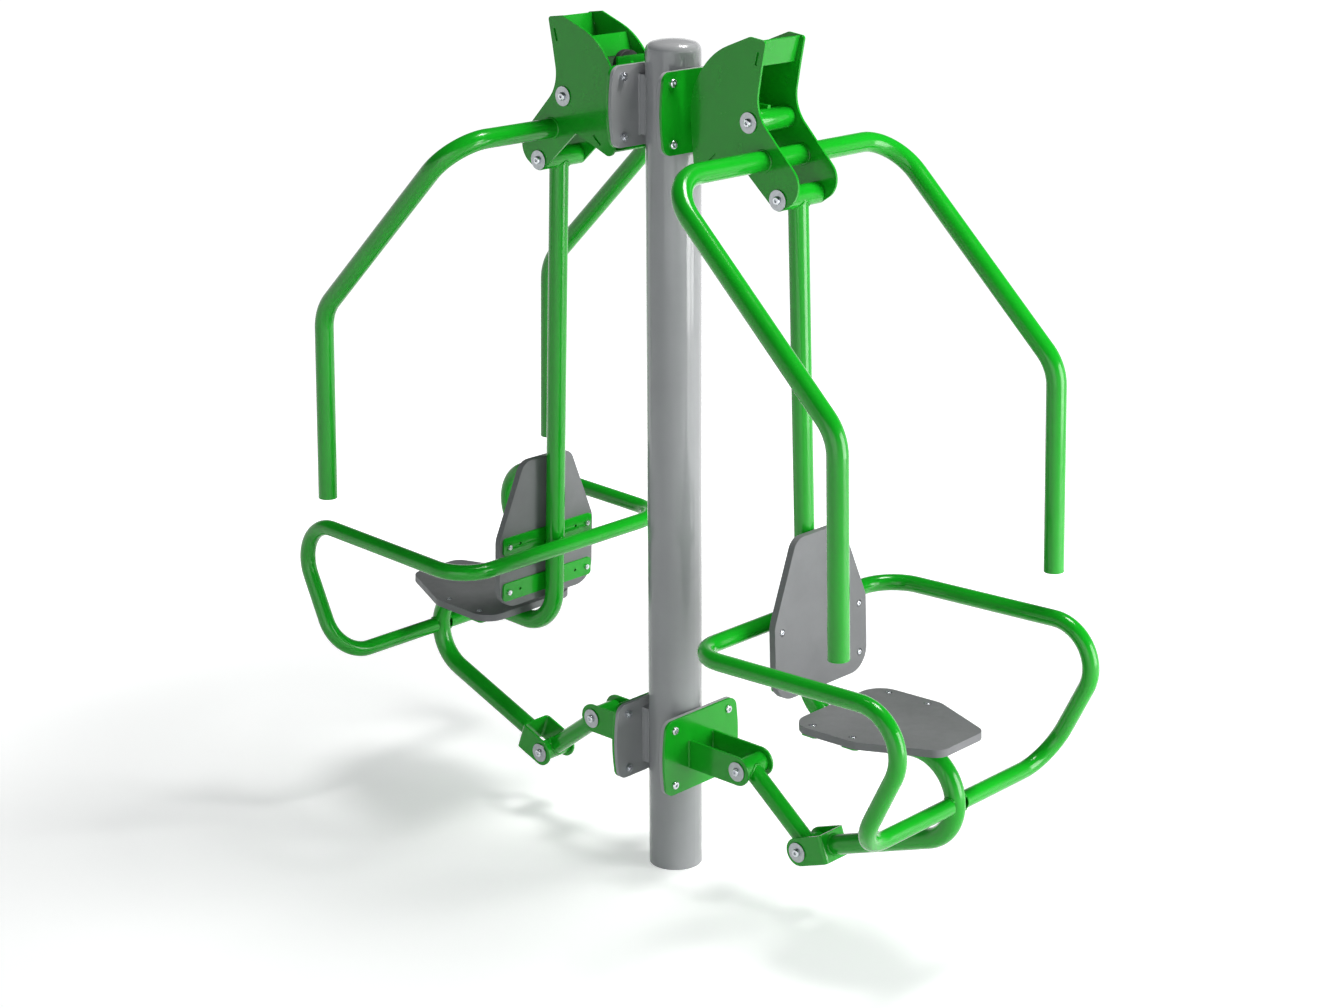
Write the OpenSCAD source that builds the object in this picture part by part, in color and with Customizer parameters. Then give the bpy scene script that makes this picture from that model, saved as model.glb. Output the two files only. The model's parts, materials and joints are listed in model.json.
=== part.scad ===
// Two-station outdoor chest press machine for a park gym.
// Lengths are in millimetres and angles in degrees.
// The origin is the centre of the post's foot. Z points up and X points to the right station.
// Each station is a four-bar linkage: the user pushes the grips away from the backrest and
// the rocker lifts the seat. The left station is the right one turned half a turn.

/* [Post] */
// Outside diameter of the post tube
post_d = 139.7; // [130:0.1:150]
// Wall of the post tube
post_wall = 5; // [3:0.5:8]
// Length of the post tube, from the ground to the cap
post_h = 2140; // [2130:5:2300]
// Straight side of the domed cap above the tube
cap_side = 12; // [6:1:30]
// Radius of the cap's shoulder
cap_shoulder = 24; // [16:1:30]
// Radius of the cap's crown
cap_crown = 200; // [150:5:400]
// Wall of the cap
cap_wall = 4; // [2:0.5:6]
// Depth of the cap's plug inside the tube
cap_plug = 30; // [15:1:60]

/* [Flanges] */
// Width of a flange at its corners
flange_w = 270; // [250:1:300]
// How far each upright side of a flange bows out
flange_bow = 6; // [2:0.5:10]
// Height of a flange
flange_h = 204; // [190:1:240]
// Corner radius of a flange
flange_corner = 28; // [16:1:36]
// Thickness of the flange welded to the post
flange_t = 10; // [6:1:14]
// Gap between the post and the back of its flange, which the saddle fills
flange_gap = 6.5; // [4:0.5:12]
// Width of the saddle behind the flange
saddle_w = 84; // [60:1:100]
// Height of the saddle behind the flange
saddle_h = 150; // [100:1:180]
// Thickness of the plate of a bolted bracket
bracket_t = 8; // [6:1:12]
// Height of the upper flanges' centre above the rocker's pivot
upper_flange_lift = 1; // [-4:0.5:4]
// Height of the lower flanges' centre above the link's pivot
lower_flange_lift = 5.2; // [0:0.2:12]

/* [Fasteners] */
// Distance across the post between the flange bolts
bolt_span = 202.4; // [190:0.2:215]
// Upright distance between the flange bolts
bolt_rise = 150; // [140:1:160]
// Shank diameter of the flange bolts and the pivot screws
bolt_d = 12; // [10:1:12]
// Diameter of their button heads
bolt_head_d = 21; // [18:0.5:22]
// Height of their button heads
bolt_head_h = 6.6; // [5:0.2:8]
// Rounding of their button heads
bolt_head_round = 4; // [2:0.5:4.5]
// Width of their hexagon sockets across the flats
bolt_socket_w = 8; // [6:1:8]
// Depth of their hexagon sockets
bolt_socket_h = 3.6; // [2:0.2:4]
// Width of the flange nuts across the flats
nut_w = 18; // [17:0.5:19]
// Height of the flange nuts
nut_h = 10; // [8:0.5:12]
// Length of bolt that stands out of a flange nut
bolt_tail = 3; // [1:0.5:8]
// Shank diameter of the board bolts
board_bolt_d = 8; // [6:1:8]
// Diameter of the board bolts' heads
board_head_d = 14; // [13:0.5:16]
// Height of the board bolts' heads
board_head_h = 4.4; // [3:0.2:5]
// Rounding of the board bolts' heads
board_head_round = 2.6; // [1:0.2:3]
// Width of the board bolts' sockets across the flats
board_socket_w = 5; // [4:0.5:6]
// Depth of the board bolts' sockets
board_socket_h = 2.4; // [1:0.2:2.6]
// Width of the board nuts across the flats
board_nut_w = 13; // [12:0.5:14]
// Height of the board nuts
board_nut_h = 6.5; // [5:0.5:8]
// Length of bolt that stands out of a board nut
board_bolt_tail = 2; // [1:0.5:6]

/* [Upper pivot] */
// Distance of the rocker's pivot from the post's axis
upper_reach = 314.7; // [305:1:335]
// Height of the rocker's pivot
upper_z = 2015; // [2005:1:2025]
// Thickness of the bracket's rib
rib_t = 10; // [6:1:14]
// How far the rib reaches above the pivot behind the cross plate
rib_rise = 98; // [80:1:104]
// How far the rib reaches above the pivot beside the flange
rib_wall_rise = 60; // [50:1:96]
// How far the rib reaches below the pivot
rib_drop = 72; // [60:1:85]
// Height of the rib's neck above the pivot, past the cross plate
rib_neck = 34; // [20:1:40]
// Distance of the cross plate's front from the pivot
cross_setback = 163; // [150:1:170]
// Thickness of the cross plate
cross_t = 8; // [6:1:10]
// Width of the cross plate
cross_w = 92; // [60:1:110]
// Top of the cross plate above the pivot
cross_rise = 112; // [95:1:118]
// Foot of the cross plate below the pivot
cross_drop = 40; // [20:1:60]
// Height of the end buffer's centre above the pivot
buffer_rise = 85; // [70:1:90]
// Diameter of the rubber end buffer
buffer_d = 80; // [50:1:84]
// Thickness of the rubber end buffer
buffer_t = 20; // [10:1:24]
// Diameter of the rubber rest buffer
rest_d = 38; // [25:1:44]
// Thickness of the rubber rest buffer
rest_t = 15; // [10:1:18]
// Length of the foot between the rest buffer and the rib
rest_foot_l = 30; // [25:1:40]

/* [Lower pivot] */
// Distance of the link's pivot from the post's axis
lower_reach = 261.4; // [250:1:280]
// Height of the link's pivot
lower_z = 340.8; // [335:0.2:345]
// Radius of the bracket arms' round ends
lower_arm_r = 38.5; // [34:0.5:42]

/* [Pivots] */
// Outside diameter of the bearing housings
housing_d = 54; // [53:0.5:60]
// Outside diameter of the ball bearings
bearing_d = 47; // [44:0.5:48]
// Bore of the ball bearings
bearing_bore = 25; // [20:1:27]
// Width of the ball bearings
bearing_w = 12; // [8:1:16]
// Depth of the bearings below the ends of their housing
bearing_recess = 2; // [1:0.5:6]
// Depth of the ring groove in a bearing's faces
bearing_groove = 1; // [0.5:0.1:1.5]
// Width of the ring groove in a bearing's faces
bearing_groove_w = 5; // [3:0.5:6]
// Diameter of the steel pivot caps
pivot_cap_d = 51; // [44:0.5:56]
// Thickness of the rim of the pivot caps
pivot_cap_t = 3; // [2:0.5:4]
// Height of the boss that holds a cap off its plate
pivot_cap_boss = 0.9; // [0.5:0.1:2]
// Step from the cap's rim in to its boss
pivot_cap_step = 2.5; // [1:0.5:5]
// Length of a pivot screw inside its axle
pivot_screw_l = 24; // [16:1:30]

/* [Rocker] */
// How far the seat frame's pivot stands out from the rocker's pivot
hang_reach = 93.7; // [90:0.5:98]
// How far the seat frame's pivot lies below the rocker's pivot
hang_drop = 174.5; // [170:0.5:180]
// Half of the rocker's width over its side plates
rocker_half = 72.5; // [68:0.5:80]
// Thickness of the rocker's plates
rocker_t = 6; // [4:0.5:8]
// Radius of the side plates' back edge about the pivot
rocker_back_r = 190; // [184:1:196]
// How far the nose stands out
nose_reach = 51.5; // [46:0.5:56]
// How far the nose stands up
nose_rise = 197.7; // [192:0.1:202]
// How far the nose's back corner stands out
nose_back = 1; // [-10:1:10]
// How far the nose's back corner stands up
nose_back_rise = 204; // [198:1:215]
// How far the front edge stands out where it bends below the nose
brow_reach = 37.5; // [34:0.5:44]
// How far above the pivot the front edge bends below the nose
brow_rise = 128.3; // [115:0.1:145]
// How far the waist stands out
waist_reach = 19.3; // [17:0.1:24]
// How far the waist lies above the pivot
waist_rise = 25.8; // [20:0.1:35]
// How far the lobe's corner stands out past the seat frame's pivot
lobe_reach = 90; // [86:1:100]
// How far the lobe's corner lies above the seat frame's pivot
lobe_rise = 28.7; // [20:0.1:32]
// Radius of the side plates round the seat frame's pivot
hang_r = 27; // [26.5:0.5:32]
// How far the notch behind the lobe stands back
notch_back = 44; // [38:1:50]
// How far the notch lies below the pivot
notch_drop = 89; // [84:1:94]
// How far the tail's corner stands back
tail_back = 176.5; // [172:0.5:184]
// How far the tail's corner hangs down
tail_drop = 145; // [140:1:155]
// Small radius of the nose
nose_r = 8; // [4:1:14]
// Radius of the bend below the nose
brow_r = 60; // [30:5:90]
// Radius of the waist
waist_r = 96; // [60:1:100]
// Radius of the lobe
lobe_r = 53; // [44:1:56]
// Radius of the notch
notch_r = 14; // [8:1:20]
// Radius of the tail
tail_r = 21; // [14:1:24]
// Distance of the nose plate's centre in front of the pivot
nose_plate_reach = 28.3; // [26:0.1:34]
// Distance of the nose plate's centre above the pivot
nose_plate_rise = 166.5; // [155:0.5:170]
// Length of the nose plate
nose_plate_l = 64; // [50:1:68]
// Lean of the nose plate
nose_plate_lean = 15.5; // [5:0.5:18]
// How far the nose plate's tabs lie below its middle
nose_tab_drop = 13; // [0:1:15]
// Length of the end stop plate
stop_plate_l = 58; // [40:1:62]
// Distance of the tail plate's centre behind the pivot
tail_plate_back = 122.8; // [114:0.1:124]
// Distance of the tail plate's centre below the pivot
tail_plate_drop = 102.3; // [96:0.1:104]
// Length of the tail plate
tail_plate_l = 80; // [50:1:82]
// How far the tail plate's tabs lie in front of its middle
tail_tab_shift = 5; // [0:0.5:8]
// Lean of the tail plate
tail_plate_lean = 41; // [36:1:46]
// Length of the plates' tabs in the side plates
tab_l = 32; // [20:1:40]
// Play round the tabs
tab_play = 0.4; // [0.2:0.1:0.8]
// Depth of the tabs' ends below the side plates' faces
tab_sink = 3.5; // [0.2:0.1:4.5]
// Angle that the rocker turns from rest to the end buffer
travel = 22; // [15:1:25]

/* [Handle] */
// Outside diameter of the handle's tube
handle_d = 50.8; // [42:0.1:52]
// Wall of the handle's tube
handle_wall = 3; // [2:0.5:5]
// How far the crossbar stands out from the rocker's pivot
crossbar_reach = 45.5; // [44:0.5:48]
// How far the crossbar lies below the rocker's pivot
crossbar_drop = 86.5; // [84:0.5:90]
// Half of the distance between the two grips
grip_half = 411.7; // [405:1:440]
// How far the elbow above a grip stands out from the rocker's pivot
elbow_reach = 566.2; // [540:1:600]
// How far the elbow above a grip lies below the rocker's pivot
elbow_drop = 588.7; // [560:1:620]
// How far a grip's end stands out from the rocker's pivot
grip_reach = 577.8; // [550:1:600]
// How far a grip's end lies below the rocker's pivot
grip_drop = 1102.8; // [1050:1:1120]
// Radius of the handle's bends
handle_bend = 116; // [90:1:140]
// Thickness of the caps that close the grips
grip_cap_t = 3; // [2:0.5:6]
// Depth of the caps inside the grips
grip_cap_plug = 12; // [6:1:20]

/* [Seat frame] */
// Outside diameter of the spine's tube
frame_d = 50.8; // [44:0.1:52]
// Wall of the spine's tube
frame_wall = 3.5; // [2:0.5:5]
// Outside diameter of the armrest's tube
arm_d = 42.4; // [38:0.1:48]
// Wall of the armrest's tube
arm_wall = 3; // [2:0.5:5]
// Lean of the seat frame at rest
seat_tilt = 2; // [0:0.1:2.5]
// Distance from the seat frame's pivot down to the link's pivot
spine_drop = 1658; // [1650:1:1664]
// Distance from the seat frame's pivot down to the tube under the seat
seat_tube_drop = 1307; // [1290:1:1312]
// Radius of the spine's bend below the backrest
rear_bend = 109; // [90:1:109]
// Radius of the spine's bend in front of the seat
front_bend = 115; // [100:1:120]
// Distance of that bend's centre in front of the spine
front_bend_reach = 345; // [320:1:360]
// Distance from the seat frame's pivot down to the armrests
arm_drop = 1053.2; // [1040:1:1070]
// Half of the distance between the armrests
arm_half = 375; // [360:0.1:380]
// Distance of the armrests' front corner in front of the spine
arm_reach = 661; // [640:0.1:680]
// Radius of the bends at the back of the armrests
arm_back_bend = 100; // [80:1:125]
// Radius of the armrest's other bends
arm_bend = 107.5; // [90:0.5:115]

/* [Clevis and link] */
// Half of the width over the lower brackets' arms and over the clevis
fork_half = 48.5; // [46:0.5:56]
// Thickness of the lower brackets' arms and of the clevis
fork_t = 6; // [5:0.5:8]
// Height of the clevis
clevis_h = 73; // [66:1:78]
// Distance from the link's pivot to the back of the clevis
clevis_l = 87; // [80:1:100]
// Outer radius of the clevis folds
clevis_fold = 12; // [9:1:16]
// Outside diameter of the link's tube
link_d = 48.3; // [42:0.1:50]
// Wall of the link's tube
link_wall = 3.5; // [2:0.5:5]

/* [Boards] */
// Thickness of the plastic boards
board_t = 19; // [15:1:22]
// Half of the backrest's greatest width
back_half = 172.2; // [170:0.1:185]
// Half of the backrest's top edge
back_top_half = 85.8; // [80:0.1:110]
// Distance from the seat frame's pivot down to the backrest's top edge
back_top_drop = 820.3; // [800:0.1:840]
// Height of the backrest
back_h = 398; // [390:1:420]
// Distance from the backrest's top edge to its greatest width
back_knee = 204; // [150:1:210]
// Half of the seat's greatest width
seat_half = 169; // [168:1:190]
// Half of the seat's front edge
seat_front_half = 83; // [60:1:90]
// Distance of the seat's front edge in front of the spine
seat_front = 485.5; // [480:0.5:510]
// Length of the seat
seat_l = 400; // [390:1:430]
// Distance from the seat's front edge to its greatest width
seat_knee = 197; // [170:1:210]
// Radius of the boards' wide corners
board_wide_r = 60; // [40:1:70]
// Radius of the boards' knees
board_knee_r = 60; // [30:1:80]
// Radius of the boards' narrow corners
board_narrow_r = 40; // [20:1:50]
// Distance between the bolts across a board
board_bolt_span = 290; // [280:1:300]
// Distance from the seat frame's pivot down to the backrest's upper bolts
back_bolt_drop = 1043; // [1030:1:1055]
// Distance between the backrest's upper and lower bolts
back_bolt_rise = 128; // [115:1:135]
// Distance of the seat's back bolts in front of the spine
seat_bolt_reach = 141.5; // [135:0.5:150]
// Distance between the seat's back and front bolts
seat_bolt_run = 124; // [115:1:130]
// Width of the sunk seats of the board bolts' heads
board_sink_d = 18; // [17:0.5:20]
// Depth of the sunk seats of the board bolts' heads
board_sink = 3; // [2:0.5:6]
// Thickness of the steel strips that carry the boards
strip_t = 6; // [4:0.5:8]
// Width of the strips
strip_w = 50; // [40:1:56]
// Length of the strips
strip_l = 326; // [316:1:336]
// Corner radius of the strips
strip_corner = 10; // [4:1:12]
// Distance between the small spare holes of a strip
strip_hole_span = 206; // [180:1:230]
// Diameter of the small spare holes of a strip
strip_hole_d = 8; // [5:1:10]

/* [Fits] */
// Radial play between an axle and its bearings
running_fit = 0.05; // [0.02:0.01:0.1]
// Radial play of the link's opened pivot at the clevis
open_play = 2.2; // [2:0.1:2.6]
// Gap left between welded or pressed pieces
weld_gap = 0.05; // [0.02:0.01:0.1]
// Radial play of a bolt in its hole
bolt_play = 0.5; // [0.2:0.1:1]
// Side play between a housing and its fork
side_play = 1; // [0.5:0.1:2]
// Gap between a buffer and the plate that rests on it
stop_gap = 0.3; // [0.2:0.05:0.6]

/* [Hidden] */
$fn = 64;

// The turn of each station about the post
RIGHT = 0;
LEFT = 180;
// Paint and material colours
paint_green = [0.10, 0.66, 0.14];
plate_green = [0.13, 0.45, 0.18];
post_grey = [0.56, 0.57, 0.59];
board_grey = [0.45, 0.46, 0.48];
steel = [0.80, 0.81, 0.83];
rubber = [0.05, 0.05, 0.05];
// Extra length that lets a cut pass right through
overrun = 2;
// Greatest angle between the points of a rounded corner
arc_step = 5;

post_r = post_d / 2;
flange_back = post_r + flange_gap;
flange_face = flange_back + flange_t;
bracket_face = flange_face + bracket_t;
upper_flange_z = upper_z + upper_flange_lift;
lower_flange_z = lower_z + lower_flange_lift;
housing_r = housing_d / 2;
handle_r = handle_d / 2;
frame_r = frame_d / 2;
rocker_inner = rocker_half - rocker_t;
fork_inner = fork_half - fork_t;
wide_housing = 2 * (rocker_inner - side_play);
narrow_housing = 2 * (fork_inner - side_play);
axle_d = bearing_bore - 2 * running_fit;
open_axle_d = bearing_bore - 2 * open_play;

// Places of the pivots in the plane of a station
hang_x = upper_reach + hang_reach;
hang_z = upper_z - hang_drop;
toe_x = hang_x + spine_drop * sin(seat_tilt);
toe_z = hang_z - spine_drop * cos(seat_tilt);
link_run = toe_x - lower_reach;
link_fall = lower_z - toe_z;
link_l = norm([link_run, link_fall]);
link_angle = atan2(link_fall, link_run);

// The spine's lower leg runs from the clevis to a tangent of the front bend
bend_drop = seat_tube_drop + front_bend;
toe_to_bend = [front_bend_reach, spine_drop - bend_drop];
leg_angle = atan2(toe_to_bend.y, toe_to_bend.x) - asin(front_bend / norm(toe_to_bend));
front_turn = 180 - leg_angle;
front_corner = front_bend_reach + front_bend * tan(front_turn / 2);
lower_bar_x = front_bend_reach + front_bend;

// Where the boards lie on the seat frame
strip_face = frame_r + strip_t;
seat_strip_drop = seat_tube_drop - frame_r;

function unit(v) = v / norm(v);
function turn_angle(a, b, c) = acos(unit(b - a) * unit(c - b));
function setback(a, b, c, r) = r * tan(turn_angle(a, b, c) / 2);

// Where the straight run after point i of a path goes, and which way corner i bends it
function way(p, i) = unit(p[i + 1] - p[i]);
function inward(p, i) = unit(way(p, i) - way(p, i - 1) * (way(p, i - 1) * way(p, i)));
// Setback of corner i of a path whose inner corners have the radii r: zero at its ends
function path_setback(p, r, i) =
    i == 0 || i == len(p) - 1 ? 0 : setback(p[i - 1], p[i], p[i + 1], r[i - 1]);
// The side that pointed inwards at corner i, carried round that corner
function carried(p, i) =
    let (turn = turn_angle(p[i - 1], p[i], p[i + 1]))
        inward(p, i) * cos(turn) - way(p, i - 1) * sin(turn);
// Roll about the tube between corners i - 1 and i that brings the next bend into its plane
function roll(p, i) =
    i == 1 ? 0 : atan2(cross(carried(p, i - 1), inward(p, i)) * way(p, i - 1),
                       carried(p, i - 1) * inward(p, i));

// A bend of a round rod that leaves the origin along Z and turns towards X, in parts of
// at most a quarter turn
module rod_bend(turn, bend_r, d) {
    parts = ceil(turn / 90);
    for (i = [0 : parts - 1])
        translate([bend_r, 0, 0])
            rotate([-90, 180 + i * turn / parts, 0])
                rotate_extrude(angle = turn / parts)
                    translate([bend_r, 0]) circle(d = d);
}

// The runs of a bent rod from point i of its path on, starting at the origin along Z
module rod_runs(p, r, d, i) {
    run = norm(p[i + 1] - p[i]) - path_setback(p, r, i) - path_setback(p, r, i + 1);
    cylinder(h = run, d = d);
    if (i + 2 < len(p)) {
        bend_r = r[i];
        turn = turn_angle(p[i], p[i + 1], p[i + 2]);
        translate([0, 0, run])
            rotate([0, 0, roll(p, i + 1)]) {
                rod_bend(turn, bend_r, d);
                translate([bend_r, 0, 0]) rotate([0, turn, 0]) translate([-bend_r, 0, 0])
                    rod_runs(p, r, d, i + 1);
            }
    }
}

// A tube bent along the path p, open at both ends, with the radii r at its corners
module bent_tube(p, r, d, wall) {
    z = way(p, 0);
    x = inward(p, 1);
    y = cross(z, x);
    multmatrix([[x.x, y.x, z.x, p[0].x],
                [x.y, y.y, z.y, p[0].y],
                [x.z, y.z, z.z, p[0].z],
                [0, 0, 0, 1]])
        difference() {
            rod_runs(p, r, d, 0);
            rod_runs(p, r, d - 2 * wall, 0);
        }
}

// Cross product of the two edges at corner i, above zero where an outline bulges
function corner_side(p, i) =
    let (n = len(p), a = p[(i + n - 1) % n], b = p[i], c = p[(i + 1) % n])
        (b.x - a.x) * (c.y - b.y) - (b.y - a.y) * (c.x - b.x);
function corner_setback(p, r, i) =
    let (n = len(p)) setback(p[(i + n - 1) % n], p[i], p[(i + 1) % n], r[i]);
function corner_before(p, r, i) =
    let (n = len(p)) p[i] + unit(p[(i + n - 1) % n] - p[i]) * corner_setback(p, r, i);
function corner_after(p, r, i) =
    let (n = len(p)) p[i] + unit(p[(i + 1) % n] - p[i]) * corner_setback(p, r, i);
function corner_centre(p, r, i) =
    let (a = corner_before(p, r, i), c = corner_after(p, r, i), m = (a + c) / 2)
        m + unit(m - p[i]) * (r[i] * r[i] - norm(a - m) * norm(a - m)) ^ 0.5;

// The points of the arc that rounds corner i
function corner_arc(p, r, i) =
    let (centre = corner_centre(p, r, i),
         from = corner_before(p, r, i) - centre,
         to = corner_after(p, r, i) - centre,
         turn = sign(corner_side(p, i)) * acos(unit(from) * unit(to)),
         steps = ceil(abs(turn) / arc_step),
         start = atan2(from.y, from.x))
        [for (k = [0 : steps])
            centre + r[i] * [cos(start + turn * k / steps), sin(start + turn * k / steps)]];

// An outline whose corner i has the radius r[i], with its points counter-clockwise
module rounded_outline(p, r) {
    polygon([for (i = [0 : len(p) - 1]) each corner_arc(p, r, i)]);
}

// A plate lying across Y between y - t / 2 and y + t / 2, drawn by its side view
module side_plate(y, t) {
    translate([0, y + t / 2, 0])
        rotate([90, 0, 0])
            linear_extrude(t) children();
}

// A cylinder along Y with its middle on the origin
module cross_cylinder(h, d) {
    rotate([90, 0, 0]) cylinder(h = h, d = d, center = true);
}

// A ring along Y with its middle on the origin
module cross_ring(h, d, bore) {
    difference() {
        cross_cylinder(h, d);
        cross_cylinder(h + overrun, bore);
    }
}

// Copies for both ends of a pivot, with Z pointing outwards
module both_ends() {
    for (turn = [0, 180])
        rotate([0, 0, turn]) rotate([90, 0, 0]) children();
}

// A button head standing on the plane of Z, with a round edge and a hexagon socket
module button_head(d, h, edge, socket_w, socket_h) {
    difference() {
        rotate_extrude()
            union() {
                square([d / 2 - edge, h]);
                square([d / 2, h - edge]);
                intersection() {
                    translate([d / 2 - edge, h - edge]) circle(r = edge);
                    square([d / 2, h]);
                }
            }
        translate([0, 0, h - socket_h])
            cylinder(h = socket_h + overrun, d = socket_w / cos(30), $fn = 6);
    }
}

// A button-headed bolt through the plane of Z, with its shank below it
module button_bolt(length) {
    button_head(bolt_head_d, bolt_head_h, bolt_head_round, bolt_socket_w, bolt_socket_h);
    translate([0, 0, -length]) cylinder(h = length, d = bolt_d);
}

// A hexagon nut standing on the plane of Z
module hex_nut(w, h, bore) {
    difference() {
        intersection() {
            cylinder(h = h, d = w / cos(30), $fn = 6);
            cylinder(h = h, d1 = w + 2 * h / tan(30), d2 = w);
        }
        translate([0, 0, -overrun])
            cylinder(h = h + 2 * overrun, d = bore);
    }
}

// A shielded ball bearing along Y
module ball_bearing() {
    groove_r = (bearing_d + bearing_bore) / 4;
    difference() {
        cross_ring(bearing_w, bearing_d, bearing_bore);
        both_ends()
            translate([0, 0, bearing_w / 2 - bearing_groove])
                difference() {
                    cylinder(h = bearing_groove + overrun, r = groove_r + bearing_groove_w / 2);
                    translate([0, 0, -overrun])
                        cylinder(h = bearing_groove + 3 * overrun,
                                 r = groove_r - bearing_groove_w / 2);
                }
    }
}

// The two bearings of a housing
module bearing_pair(housing_l) {
    seat = housing_l / 2 - bearing_recess - bearing_w / 2;
    for (y = [-seat, seat])
        translate([0, y, 0]) ball_bearing();
}

// The outside and the bore of a bearing housing
module housing(length) {
    cross_ring(length, housing_d, bearing_d + 2 * weld_gap);
}

// An axle along Y with threaded holes in its ends
module axle(half, d) {
    difference() {
        cross_cylinder(2 * half, d);
        both_ends()
            translate([0, 0, half - pivot_screw_l - overrun])
                cylinder(h = pivot_screw_l + 2 * overrun, d = bolt_d + 2 * weld_gap);
    }
}

// The two caps that close a pivot whose plates end at half
module pivot_caps(half) {
    both_ends()
        translate([0, 0, half])
            difference() {
                union() {
                    cylinder(h = pivot_cap_boss, d = pivot_cap_d - 2 * pivot_cap_step);
                    translate([0, 0, pivot_cap_boss]) cylinder(h = pivot_cap_t, d = pivot_cap_d);
                }
                translate([0, 0, -overrun])
                    cylinder(h = pivot_cap_boss + pivot_cap_t + 2 * overrun,
                             d = bolt_d + 2 * bolt_play);
            }
}

// The two screws that hold the caps
module pivot_screws(half) {
    both_ends()
        translate([0, 0, half + pivot_cap_boss + pivot_cap_t])
            button_bolt(pivot_cap_boss + pivot_cap_t + pivot_screw_l);
}

// Puts its children in the right place for a station and a moving frame
module station(turn) {
    rotate([0, 0, turn]) children();
}
module at_rocker(turn) {
    station(turn) translate([upper_reach, 0, upper_z]) children();
}
module at_hang(turn) {
    at_rocker(turn) translate([hang_reach, 0, -hang_drop]) children();
}
module at_spine(turn) {
    at_hang(turn) rotate([0, -seat_tilt, 0]) children();
}
module at_toe(turn) {
    at_spine(turn) translate([0, 0, -spine_drop]) rotate([0, -leg_angle, 0]) children();
}
module at_lower(turn) {
    station(turn) translate([lower_reach, 0, lower_z]) children();
}
module at_link(turn) {
    at_lower(turn) rotate([0, link_angle, 0]) children();
}

// Post

module post() {
    color(post_grey)
        difference() {
            cylinder(h = post_h, r = post_r);
            translate([0, 0, -overrun])
                cylinder(h = post_h + 2 * overrun, r = post_r - post_wall);
        }
}

// Half of the section through the cap's dome: a round shoulder and a flatter crown
module dome_section(r, shoulder, crown) {
    rest = r - shoulder;
    fall = ((crown - shoulder) ^ 2 - rest ^ 2) ^ 0.5;
    edge = rest * crown / (crown - shoulder);
    translate([rest, 0]) intersection() {
        circle(r = shoulder);
        translate([-rest, 0]) square([r, shoulder]);
    }
    intersection() {
        translate([0, -fall]) circle(r = crown);
        square([edge, crown]);
    }
}

module post_cap() {
    plug_r = post_r - post_wall - weld_gap;
    bore_r = plug_r - cap_wall;
    color(post_grey)
        translate([0, 0, post_h])
            rotate_extrude()
                difference() {
                    union() {
                        translate([0, -cap_plug]) square([plug_r, cap_plug + cap_side]);
                        square([post_r, cap_side]);
                        translate([0, cap_side])
                            dome_section(post_r, cap_shoulder, cap_crown);
                    }
                    translate([0, -cap_plug - overrun])
                        square([bore_r, cap_plug + cap_side + overrun]);
                    translate([0, cap_side])
                        dome_section(post_r - cap_wall, cap_shoulder - cap_wall,
                                     cap_crown - cap_wall);
                }
}

// Flanges and brackets

// The outline shared by a flange and a bracket's plate: upright sides bow out
module flange_outline() {
    chord = flange_h - 2 * flange_corner;
    bow_r = (chord ^ 2 / 4 + flange_bow ^ 2) / (2 * flange_bow);
    half = [flange_w / 2, flange_h / 2];
    rounded_outline([[-half.x, -half.y], [half.x, -half.y], [half.x, half.y], [-half.x, half.y]],
                    [for (i = [0 : 3]) flange_corner]);
    for (side = [-1, 1])
        intersection() {
            translate([side * (half.x + flange_bow - bow_r), 0]) circle(r = bow_r);
            translate([side * (half.x + flange_bow) / 2, 0])
                square([half.x + flange_bow, chord], center = true);
        }
}

// Copies at the four bolts of a flange, with X pointing away from the post
module at_flange_bolts() {
    for (y = [-bolt_span / 2, bolt_span / 2], z = [-bolt_rise / 2, bolt_rise / 2])
        translate([0, y, z]) children();
}

// A flange plate standing on the plane of X, with its bolt holes
module flange_plate(t) {
    difference() {
        rotate([90, 0, 90]) linear_extrude(t) flange_outline();
        at_flange_bolts()
            rotate([0, 90, 0])
                translate([0, 0, -overrun])
                    cylinder(h = t + 2 * overrun, d = bolt_d + 2 * bolt_play);
    }
}

module flange(turn, height) {
    color(post_grey)
        station(turn) {
            translate([flange_back, 0, height]) flange_plate(flange_t);
            difference() {
                translate([0, -saddle_w / 2, height - saddle_h / 2])
                    cube([flange_back, saddle_w, saddle_h]);
                translate([0, 0, height - saddle_h / 2 - overrun])
                    cylinder(h = saddle_h + 2 * overrun, r = post_r + weld_gap);
            }
        }
}

// Where the tail plate stands, seen from the rocker's pivot
module at_tail_plate() {
    translate([-tail_plate_back, 0, -tail_plate_drop])
        rotate([0, -tail_plate_lean, 0]) children();
}

// The rib that carries the upper housing, drawn in X and Z about the pivot
module rib_outline() {
    wall = upper_reach - bracket_face;
    polygon([[-wall, -rib_drop], [-cross_setback, -rib_drop], [0, -housing_r],
             [0, rib_neck], [-cross_setback, rib_neck + cross_t],
             [-cross_setback, rib_rise], [-cross_setback - cross_t, rib_rise],
             [-wall, rib_wall_rise]]);
}

// The foot of the upper rib, which carries the rest buffer
module rest_foot() {
    at_tail_plate()
        translate([0, 0, rocker_t / 2 + stop_gap + rest_t])
            cylinder(h = rest_foot_l, d = rest_d);
}

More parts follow.
